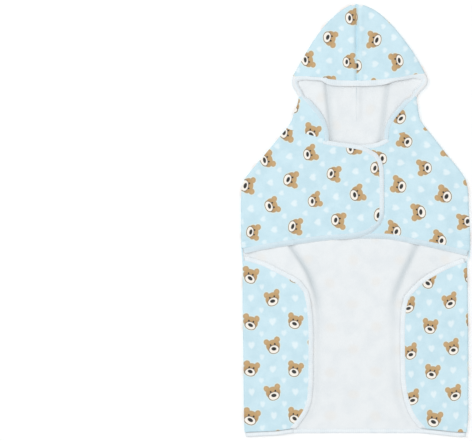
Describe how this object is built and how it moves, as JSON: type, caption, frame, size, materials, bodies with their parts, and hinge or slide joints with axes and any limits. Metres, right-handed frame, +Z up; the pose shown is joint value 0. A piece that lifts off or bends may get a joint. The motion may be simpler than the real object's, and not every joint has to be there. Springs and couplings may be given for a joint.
{
  "type": "dog bathrobe",
  "caption": "Hooded dog bathrobe of printed fleece with white binding, lying flat front up: overlapping chest fronts, open belly between side flaps.",
  "frame": {"origin": "middle of the bounding box on the surface that the garment lies on", "axes": "+Y along the centre back from the bottom hem to the point of the hood, +Z up out of the front, +X to the viewer's right"},
  "size_m": [0.3437, 0.6488, 0.011],
  "materials": {
    "printed_fleece": "soft brushed flannel fleece, light blue with a small staggered print of teddy bear heads and white hearts outside, plain white inside",
    "binding": "very pale blue-white folded knit binding, stitched on along each cut edge"
  },
  "bodies": {
    "root": {"back_panel": "printed_fleece", "belly_flap_left": "printed_fleece", "belly_flap_right": "printed_fleece", "flap_binding_left": "binding", "flap_binding_right": "binding", "chest_front_left": "printed_fleece", "chest_front_right": "printed_fleece", "chest_binding_left": "binding", "chest_binding_right": "binding", "hood_left": "printed_fleece", "hood_right": "printed_fleece", "hood_rim_binding": "binding", "hem_binding": "binding"}
  },
  "joints": []
}
